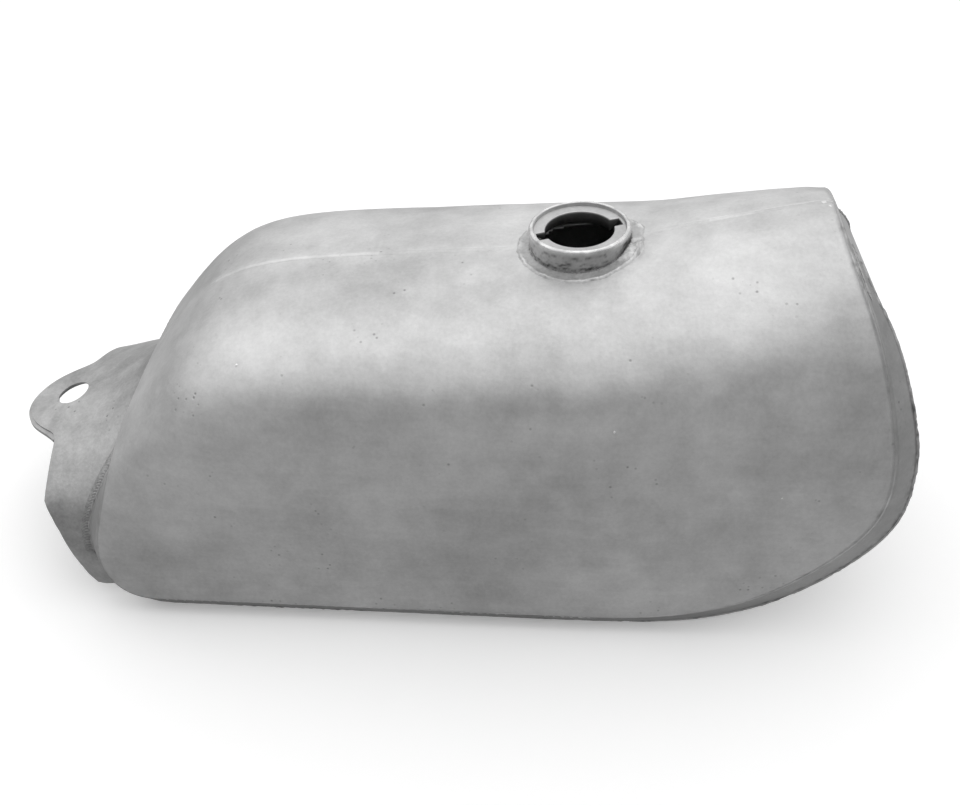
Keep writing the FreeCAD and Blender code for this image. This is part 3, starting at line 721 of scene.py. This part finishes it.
def build_crown_bead(name):
    """The thick end of the rim welds where both strips meet over the nose."""
    rim = strip_rim()
    reach = 11
    segments = 12
    path = np.concatenate([mirrored(rim[reach:0:-1], -1), rim[:reach + 1]])
    low = path[0, 2] - 1.2
    rings = []
    for spot in path:
        lump = 0.25 * noise.fractal(Vector(spot) / 3.0, 0.6, 2.1, 3)
        half = (spot[2] - low) / 2 + 0.9 + lump
        middle = (spot[2] + low) / 2
        ring = []
        for k in range(segments):
            angle = 2 * math.pi * k / segments
            x = spot[0] + (1.7 + lump) * math.cos(angle)
            ring.append((x, spot[1], middle + half * math.sin(angle)))
        rings.append(ring)
    rings = np.array(rings)
    obj = closed_tube(name, rings, WELD_STEEL)
    set_values(obj, "dark", np.clip(0.2 + bumps(rings.reshape(-1, 3), 3, 27, 3), 0, 0.8))
    part_of(obj, [])


build_skin(-1, "right_panel")
build_skin(1, "left_panel")
for side_name, side_sign in (("right", -1), ("left", 1)):
    build_crease(side_sign, side_name + "_crease")
    build_strip(side_sign, side_name + "_band")
    build_rim(side_sign, side_name + "_rim_bead")
build_crown_bead("crown_bead")


# ---- The seam along the ridge ----

SEAM_HALF = 2.4
SEAM_START = 35.0             # from the filler's axis
SEAM_STEPS = 520


def build_seam():
    """The ground bead along the ridge, in one stretch behind the filler and one before it."""
    middle = np.array([0.0])
    rear = SKIN.meet(middle, REAR_EDGE, 0, SKIN_MIDDLE)[0]
    front = SKIN.meet(middle, FRONT_EDGE, SKIN_MIDDLE, SKIN.u_top)[0]
    ridge = SKIN.at(np.linspace(rear, front, SEAM_STEPS), np.zeros(SEAM_STEPS))
    away = filler_distance(ridge)
    stand = skin_height(ridge, distance_to(ridge, FOLD_PLACES), away)
    points = []
    faces = []
    wear_and_sheen = []
    across = np.linspace(-SEAM_HALF, SEAM_HALF, 7)
    for stretch in (ridge[:, 0] < 0, ridge[:, 0] > 0):
        keep = stretch & (away > SEAM_START)
        line = ridge[keep]
        lift = stand[keep]
        base = len(points)
        wander = 0.5 * bumps(line, 40, 31, 2)
        for i, (x, _, z) in enumerate(line):
            end = min(1.0, min(i, len(line) - 1 - i) / 12)
            proud = 0.24 if x < 60 else 0.12
            bright = 0.45 if -225 < x < -120 or 75 < x < 100 else 0.12
            for y in across:
                hump = max(0.0, 1 - (y / SEAM_HALF) ** 2)
                rough = 0.09 * noise.fractal(Vector((x, y, 7.0)) / 2.0, 0.6, 2.0, 3) * (x < 60)
                points.append((x, y + wander[i] * end, z + lift[i] - 0.06 + hump * (proud + rough)))
                wear_and_sheen.append(bright * hump if x < 105 else 0.0)
        faces += [tuple(base + k for k in face) for face in grid_faces(len(line), len(across))]
    obj = new_object("top_seam", points, faces, SHEET_STEEL)
    set_values(obj, "wear_and_sheen", wear_and_sheen)
    part_of(obj, ["top_seam_weld"])


build_seam()


# ---- Marks on the skin and the nose ----

PATCH_TOP = 230.0
PATCH_FOOT = 212.0


def nearest_spot(place):
    """The place on the right skin nearest to a given one, and the outward way there."""
    points = mirrored(SKIN_POINTS, -1).reshape(-1, 3)
    ways = mirrored(SKIN_WAYS, -1).reshape(-1, 3)
    k = int(np.argmin(np.linalg.norm(points - np.array(place), axis=1)))
    return points[k], ways[k]


def ring_ways(way, reference):
    """Two ways square to the given one, the first square to the reference too."""
    first = np.cross(way, reference)
    first /= np.linalg.norm(first)
    return first, np.cross(way, first)


FLAKES = (                               # place and size of each
    ((137.0, -1.0, 238), 2.3),
    ((141.0, -4.5, 237), 1.1),
    ((124.0, -2.0, 236), 0.8),
    ((150.0, -94, 152), 0.7),
    ((20.0, -99.0, 150), 0.7),
    ((-193.0, -83.0, 170), 0.8),
    ((122.0, -108.0, 108), 0.6),
)


def build_flakes():
    """Small bright flakes of spatter that lie on the skin."""
    turns = 14
    points = []
    faces = []
    for index, (place, size) in enumerate(FLAKES):
        spot, way = nearest_spot(place)
        first, second = ring_ways(way, (0.0, 0.0, 1.0) if abs(way[2]) < 0.9 else (1.0, 0.0, 0.0))
        base = len(points)
        points.append(spot + way * (0.55 + 0.25 * size))
        for k in range(turns):
            angle = 2 * math.pi * k / turns
            lump = noise.noise(Vector((math.cos(angle) * 1.4, math.sin(angle) * 1.4, index * 3.7)))
            reach = size * (1 + 0.75 * lump)
            points.append(spot + (first * math.cos(angle) + second * math.sin(angle)) * reach + way * 0.05)
        faces += [(base, base + 1 + k, base + 1 + (k + 1) % turns) for k in range(turns)]
    obj = new_object("spatter", points, faces, BRIGHT_STEEL)
    part_of(obj, [])


def build_pinhole():
    """A pinhole beside the seam, near the nose: a low lip round a shallow dip, whose dark middle is
    painted shade for the hole's depth.
    """
    spot, way = nearest_spot((136.9, -4.0, 237.8))
    first, second = ring_ways(way, (1.0, 0.0, 0.0))
    turns = 20
    rows = []
    for radius, height in ((1.45, 0.42), (1.15, 0.62), (0.9, 0.5), (0.75, 0.44), (0.1, 0.43)):
        ring = []
        for k in range(turns):
            angle = 2 * math.pi * k / turns
            out = first * math.cos(angle) + second * math.sin(angle)
            ring.append(spot + out * radius + way * height)
        rows.append(ring)
    obj = grid_object("pinhole", rows, SHEET_STEEL, closed=True)
    # The middle of the dip is painted dark: painted shade in the hole.
    set_values(obj, "dark", np.repeat([0.0, 0.1, 0.95, 1.0, 1.0], turns))
    part_of(obj, [])


def build_nose_patch(side, name):
    """A row of short flat weld beads where the strip leaves the nose, dark round their edges."""
    start = rolled_edge(1.0)
    way = strip_way()
    face = strip_face()
    nose_steps = start[:150, 2]
    first = int(np.argmin(np.abs(nose_steps - PATCH_TOP)))
    last = int(np.argmin(np.abs(nose_steps - PATCH_FOOT)))
    steps = np.linspace(first, last, 110)
    index = np.arange(len(start))

    def along(values):
        return np.array([np.interp(steps, index, values[:, k]) for k in range(3)]).T

    start = along(start)
    way = along(way)
    face = along(face)
    across = np.linspace(0, 1, 13)
    share = np.linspace(0, 1, len(steps))
    beads = share * math.pi * 5.2
    half = 2.5 + 0.9 * np.sin(beads) + 0.6 * bumps(start, 4, 51, 2)
    half *= np.clip(np.minimum(share, 1 - share) * 9, 0.15, 1)
    link = 0.4 * bell(np.sin(beads + 1.5), 0, 0.2)
    rows = []
    dark = []
    for a in across:
        spot = start + way * (4.2 + (a - 0.5) * 2 * half)[:, None]
        hump = 1 - (2 * a - 1) ** 4
        rows.append(spot + face * (-0.1 + 0.5 * hump + 0.18 * bumps(spot, 2.0, 52, 3) * hump)[:, None])
        ring = bell(abs(2 * a - 1), 0.86, 0.14)
        dark.append(np.clip((ring + link) * (1.0 + 0.9 * bumps(spot, 3, 53, 2)), 0, 1))
    obj = grid_object(name, mirrored(np.array(rows), side), SHEET_STEEL, flip=side > 0)
    set_values(obj, "dark", np.array(dark).ravel())
    set_values(obj, "wear_and_sheen", np.repeat(0.25 * bell(across, 0.5, 0.3), len(steps)))
    part_of(obj, [])


build_flakes()
build_pinhole()
build_nose_patch(-1, "right_nose_patch")


# ---- Filler ----

def filler_place(radius, angle, height):
    """A place round the filler's axis, height above the rim."""
    x = radius * math.cos(angle)
    y = radius * math.sin(angle)
    turned_x = x * math.cos(FILLER_TILT) - height * math.sin(FILLER_TILT)
    turned_z = x * math.sin(FILLER_TILT) + height * math.cos(FILLER_TILT)
    return turned_x, y, FILLER_RIM_Z + turned_z


COLLAR_PROFILE = (                       # radius and height, up the outside and down the inside
    (29.7, -15.5), (29.9, -13.5), (29.9, -12.5), (29.9, -11.5), (29.9, -10.5), (29.9, -9.5),
    (29.9, -8.5), (29.95, -7.3), (30.0, -6), (30.15, -4.5), (30.35, -3.1), (30.4, -2.0),
    (30.1, -1.15), (29.6, -0.5), (29.0, -0.12), (28.4, 0.0), (27.85, -0.2), (27.5, -0.8),
    (FILLER_INNER, -1.8), (FILLER_INNER, -3.2), (FILLER_INNER, -9.0),
)
COLLAR_FOOT = -12.2
WELD_FOOT = -13.5


def build_collar():
    """The turned collar: a painted highlight round the top of its rim, dark at its foot and in patches."""
    turns = 256
    rows = []
    wear_and_sheen = []
    dark = []
    for radius, height in COLLAR_PROFILE:
        row = []
        for k in range(turns):
            angle = 2 * math.pi * k / turns
            spot = Vector((math.cos(angle) * 3, math.sin(angle) * 3, height / 9))
            rough = noise.fractal(spot, 0.6, 2.0, 3)
            dints = noise.fractal(spot * 4, 0.6, 2.0, 2)
            row.append(filler_place(radius + 0.16 * rough + 0.07 * dints, angle, height + 0.12 * rough))
            # A painted highlight round the top of the rim.
            top = bell(height, -0.6, 1.5) * (radius > 27.8)
            wear_and_sheen.append(top * min(1.0, 0.75 + rough))
            place = Vector((math.cos(angle) * 6, math.sin(angle) * 6, height / 1.7))
            scale = noise.fractal(place, 0.6, 2.0, 3)
            foot = bell(height + 1.6 * rough, COLLAR_FOOT, 0.9) * max(0.0, 0.8 + 1.5 * dints)
            marks = 0.6 * max(0.0, 2.0 * scale - 0.1) * (-12 < height < -3.5)
            dark.append(min(1.0, foot + marks))
        rows.append(row)
    obj = grid_object("collar", rows, COLLAR_STEEL, closed=True)
    set_values(obj, "wear_and_sheen", wear_and_sheen)
    set_values(obj, "dark", dark)
    part_of(obj, ["filler_collar"])


def shelf_angles():
    """Even steps round the mouth, with exact ones at the corners of the two notches."""
    inner = math.asin(NOTCH_HALF / MOUTH_RADIUS)
    outer = math.asin(NOTCH_HALF / NOTCH_RADIUS)
    stretch = math.pi - 2 * inner
    angles = []
    for centre in (NOTCH_TURN, NOTCH_TURN + math.pi):
        angles += [(centre - outer + 2 * outer * k / 8, True) for k in range(9)]
        angles += [(centre + inner + stretch * k / 70, False) for k in range(71)]
    return angles


def build_shelf():
    """The flat shelf with the round mouth, its two notches, and the ramps below its edge, with painted
    shade in the groove by the wall and down into the mouth.
    """
    angles = shelf_angles()
    wall = FILLER_INNER - 0.02
    rows = [[] for _ in range(9)]
    for angle, notch in angles:
        edge = NOTCH_RADIUS if notch else MOUTH_RADIUS
        ramp_foot = -1.5 if notch else -6.1 - 2.0 * math.sin(angle + 0.6)
        profile = ((wall, 0.1), (27.0, 0.0), (edge + 1.0, 0.0), (edge + 0.35, -0.08),
                   (edge + 0.05, -0.4), (edge, -1.4), (edge, ramp_foot), (edge + 1.3, ramp_foot),
                   (wall, -1.6))
        for row, (radius, height) in zip(rows, profile):
            row.append(filler_place(radius, angle, height - SHELF_DROP))
    obj = grid_object("cap_shelf", rows, COLLAR_STEEL, closed=True)
    # Painted shade: dark in the groove by the wall, and darker down the mouth's edge and under the shelf.
    set_values(obj, "dark", np.repeat([0.5, 0.0, 0.0, 0.0, 0.2, 0.7, 0.9, 1.0, 1.0], len(angles)))
    part_of(obj, ["bayonet_ring"])


def surface_finder():
    """A function that gives the skin's height under a place."""
    points = []
    faces = []
    for side in (-1, 1):
        base = len(points)
        points += [Vector(p) for p in mirrored(SKIN_POINTS, side).reshape(-1, 3)]
        faces += [tuple(base + k for k in face) for face in grid_faces(SKIN_ROWS, SKIN_COLUMNS)]
    tree = BVHTree.FromPolygons(points, faces)

    def height(x, y):
        hit = tree.ray_cast(Vector((x, y, 400.0)), Vector((0, 0, -1)))
        return hit[0].z
    return height


FILLET_ROWS = (                          # radius, and the share of the full height there
    (29.7, 0.9), (30.3, 0.75), (30.9, 0.5), (31.9, 0.35), (33.1, 0.25), (34.2, 0.25),
    (35.1, 0.45), (35.9, 0.95), (36.5, 1.0), (37.1, 0.45), (37.9, 0.0), (38.6, -0.5),
)
BLOB_ANGLE = math.radians(336)
BLOB_WIDTH = math.radians(17)


def fillet_spot(ground, angle, j, radius, height):
    """One place of the filler's weld, with its dark and its bright share.

    Row j runs from 0 at the collar, over a low moat to the ridge where the grinding ended.
    """
    way = Vector((math.cos(angle), math.sin(angle), 0))
    sway = noise.fractal(way * 2.2 + Vector((4, 0, 0)), 0.6, 2.0, 2)
    ragged = noise.fractal(way * 13, 0.6, 2.0, 3)
    blob = bell(angle, BLOB_ANGLE, BLOB_WIDTH)
    spread = min(1.0, j / 5)
    reach = radius + (1.3 * sway + 0.35 * ragged) * spread + 1.8 * blob * spread
    x, y, _ = filler_place(reach, angle, WELD_FOOT)
    lumps = noise.fractal(Vector((x, y, 3.0)) / 5.0, 0.6, 2.1, 3)
    fine = noise.fractal(Vector((x, y, 9.0)) / 1.6, 0.6, 2.1, 3)
    inner = max(0.0, 1 - j / 3)
    ridge = max(0.0, 1 - abs(j - 7.5) / 2.5)
    broken = 0.35 + 0.65 * min(1.0, max(0.0, 0.6 + 1.5 * sway))

    rise = height * (broken if j > 4 else 1.0) + inner * 0.9 * max(-0.7, ragged + 0.5 * sway)
    rise += (0.1 + 0.15 * ridge) * lumps + 0.09 * fine
    if 0 < j < 9:
        rise += blob * (2.4 + 2.2 * lumps + 1.2 * fine)
    if j == len(FILLET_ROWS) - 1:
        rise = -0.5
    dark = bell(j, 0.9, 0.8) * max(0.0, 0.7 + 1.2 * ragged)
    dark += 0.6 * bell(j, 9.3, 0.8) * max(0.0, 1.5 * lumps)
    wear_and_sheen = ridge * broken * max(0.0, 0.75 + lumps)
    if j > 1:
        wear_and_sheen += 1.2 * blob * max(0.0, 0.7 + lumps)
    return (x, y, ground(x, y) + rise), min(1.0, dark), min(1.0, wear_and_sheen)


def build_filler_weld():
    """A ragged fillet at the collar's foot and the low ridge round it where it was ground."""
    ground = surface_finder()
    turns = 480
    rows = []
    dark = []
    wear_and_sheen = []
    for j, (radius, height) in enumerate(FILLET_ROWS):
        row = []
        for k in range(turns):
            place, dull, bright = fillet_spot(ground, 2 * math.pi * k / turns, j, radius, height)
            row.append(place)
            dark.append(dull)
            wear_and_sheen.append(bright)
        rows.append(row)
    obj = grid_object("filler_fillet", rows, WELD_STEEL, closed=True)
    set_values(obj, "dark", dark)
    set_values(obj, "wear_and_sheen", wear_and_sheen)
    part_of(obj, ["filler_weld"])


build_collar()
build_shelf()
build_filler_weld()


# ---- The skirt's weld ----

RIPPLE_LENGTH = 2.0


def build_skirt_bead():
    """A bead on the skirt beside the rear wall: ground on the crown and rippled down the sides."""
    edge = side_edge(SKIRT_FRONT_EDGE)
    side = np.linspace(0.25, 0.93, 150)
    v = np.concatenate([-side[::-1], np.linspace(-0.245, 0.245, 60), side])
    u = SKIRT.meet(v, edge, 1.0, SKIRT.u_top)
    keep = SKIRT.at(u, v)[:, 2] > 24.0
    u = u[keep]
    v = v[keep]
    line = SKIRT.at(u, v)
    outward = SKIRT.normal(u, np.clip(v, -0.999, 0.999))
    ahead = SKIRT.at(np.minimum(u + 0.01, SKIRT.u_top), v) - SKIRT.at(u - 0.01, v)
    ahead /= np.linalg.norm(ahead, axis=1)[:, None]
    run = line_length(line)
    sides = ramp(np.abs(line[:, 1]), 45, 70)
    rows = []
    dark = []
    for share in np.linspace(0, 1, 11):
        reach = 0.45 - share * (3.6 + 4.0 * sides)
        spots = line + ahead * reach[:, None]
        hump = math.sin(math.pi * min(1.0, share * 1.02)) ** 0.7
        ripple = np.sin((run - 8.8 * share * (1 - share)) * 2 * math.pi / RIPPLE_LENGTH)
        rough = bumps(spots, 2.2, 41, 3)
        height = hump * (0.5 + 0.4 * sides + sides * (0.34 * ripple + 0.3 * rough)) - 0.12
        rows.append(spots + outward * height[:, None])
        # Dark scale on the bumps, and painted shade in the troughs of the ripples down the sides.
        dark.append(0.6 * np.clip(0.15 + 0.6 * sides * (rough - ripple), 0, 1))
    obj = grid_object("skirt_bead", rows, SKIRT_STEEL)
    set_values(obj, "dark", np.array(dark).ravel())
    part_of(obj, ["skirt_weld"])


build_skirt_bead()


# ---- Pieces shown as they are in the CAD ----

for node_name, node_material in (("rear_skirt", SKIRT_STEEL), ("tongue_doubler", SKIRT_STEEL),
                                 ("front_wall", SHEET_STEEL), ("rear_wall", SHEET_STEEL),
                                 ("right_floor", SHEET_STEEL), ("left_floor", SHEET_STEEL),
                                 ("frame_tunnel", SHEET_STEEL), ("tunnel_weld", INSIDE_STEEL),
                                 ("fuel_tap_boss", COLLAR_STEEL), ("tap_boss_weld", INSIDE_STEEL),
                                 ("right_front_guide", SKIRT_STEEL), ("left_front_guide", SKIRT_STEEL),
                                 ("right_guide_weld", WELD_STEEL), ("left_guide_weld", WELD_STEEL)):
    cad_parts[node_name].data.materials.clear()
    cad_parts[node_name].data.materials.append(node_material)


# ---- Floor, light and camera (in metres) ----

FLOOR_GAP = 0.0005
HORIZON_LOW = 0.12
HORIZON_HIGH = 0.62
HORIZON_GLOW = 0.27
CEILING_GLOW = 1.0
BACK_LEAN = 0.36             # how far the bright ceiling leans over to the far side
CAMERA_PLACE = to_scene((-28.3, -544.7, 536.9))
CAMERA_TARGET = to_scene((-58.8, 0.0, 79.2))
CAMERA_LENS = 39.4
CAMERA_SENSOR = 36.0


def pale_floor_material():
    """White to the camera, greyer to the tank, and clear from below."""
    material = bpy.data.materials.new("pale_floor")
    wiring = Wiring(material)
    shader = wiring.nodes["Principled BSDF"]
    shader.inputs["Roughness"].default_value = 0.9
    shader.inputs["Emission Color"].default_value = (1, 1, 1, 1)
    seen = wiring.nodes.new("ShaderNodeLightPath").outputs["Is Camera Ray"]
    wiring.links.new(wiring.span(seen, 0.0, 1.0, 0.2, 0.97), shader.inputs["Base Color"])
    wiring.links.new(wiring.span(seen, 0.0, 1.0, 0.2, 0.17), shader.inputs["Emission Strength"])
    either = wiring.nodes.new("ShaderNodeMixShader")
    below = wiring.nodes.new("ShaderNodeNewGeometry").outputs["Backfacing"]
    clear = wiring.nodes.new("ShaderNodeBsdfTransparent").outputs[0]
    for slot, source in enumerate((below, shader.outputs[0], clear)):
        wiring.links.new(source, either.inputs[slot])
    wiring.links.new(either.outputs[0], wiring.nodes["Material Output"].inputs["Surface"])
    return material


def build_floor():
    low = cad_box[0][2] - FLOOR_GAP
    mesh = bpy.data.meshes.new("floor")
    corners = ((-6, -6, low), (6, -6, low), (6, 6, low), (-6, 6, low))
    mesh.from_pydata(corners, [], [(0, 1, 2, 3)])
    floor = bpy.data.objects.new("floor", mesh)
    bpy.context.scene.collection.objects.link(floor)
    mesh.materials.append(pale_floor_material())


def place_facing(name, data, place, target):
    """Put a light or camera at a place, turned to a target."""
    obj = bpy.data.objects.new(name, data)
    obj.location = place
    obj.rotation_euler = (Vector(target) - Vector(place)).to_track_quat("-Z", "Y").to_euler()
    bpy.context.scene.collection.objects.link(obj)
    return obj


def area_light(name, place, target, size, power):
    light = bpy.data.lights.new(name, "AREA")
    light.shape = "RECTANGLE"
    light.size, light.size_y = size
    light.energy = power
    place_facing(name, light, place, target)


def build_world():
    """A soft white ceiling that falls off towards the horizon, and a white backdrop."""
    world = bpy.data.worlds.new("studio")
    wiring = Wiring(world)
    way = wiring.nodes.new("ShaderNodeSeparateXYZ")
    wiring.links.new(wiring.nodes.new("ShaderNodeTexCoord").outputs["Generated"], way.inputs[0])
    height = wiring.add(way.outputs["Z"], wiring.times(way.outputs["Y"], BACK_LEAN))
    glow = wiring.span(height, HORIZON_LOW, HORIZON_HIGH, HORIZON_GLOW, CEILING_GLOW, "SMOOTHSTEP")
    seen = wiring.nodes.new("ShaderNodeLightPath").outputs["Is Camera Ray"]
    background = wiring.nodes["Background"]
    background.inputs["Color"].default_value = (1, 1, 1, 1)
    wiring.links.new(wiring.combine("MAXIMUM", glow, seen), background.inputs["Strength"])
    bpy.context.scene.world = world


def build_camera():
    camera = bpy.data.cameras.new("camera")
    camera.sensor_width = CAMERA_SENSOR
    camera.lens = CAMERA_LENS
    bpy.context.scene.camera = place_facing("camera", camera, CAMERA_PLACE, CAMERA_TARGET)


build_floor()
build_world()
area_light("overhead", (0.45, 0.1, 1.5), (0.28, 0.0, 0.05), (1.4, 1.0), 3)
area_light("behind", (-0.75, 0.1, 1.35), (0.05, 0.0, 0.05), (1.2, 1.2), 1.3)
build_camera()
bpy.context.scene.view_settings.view_transform = "Standard"
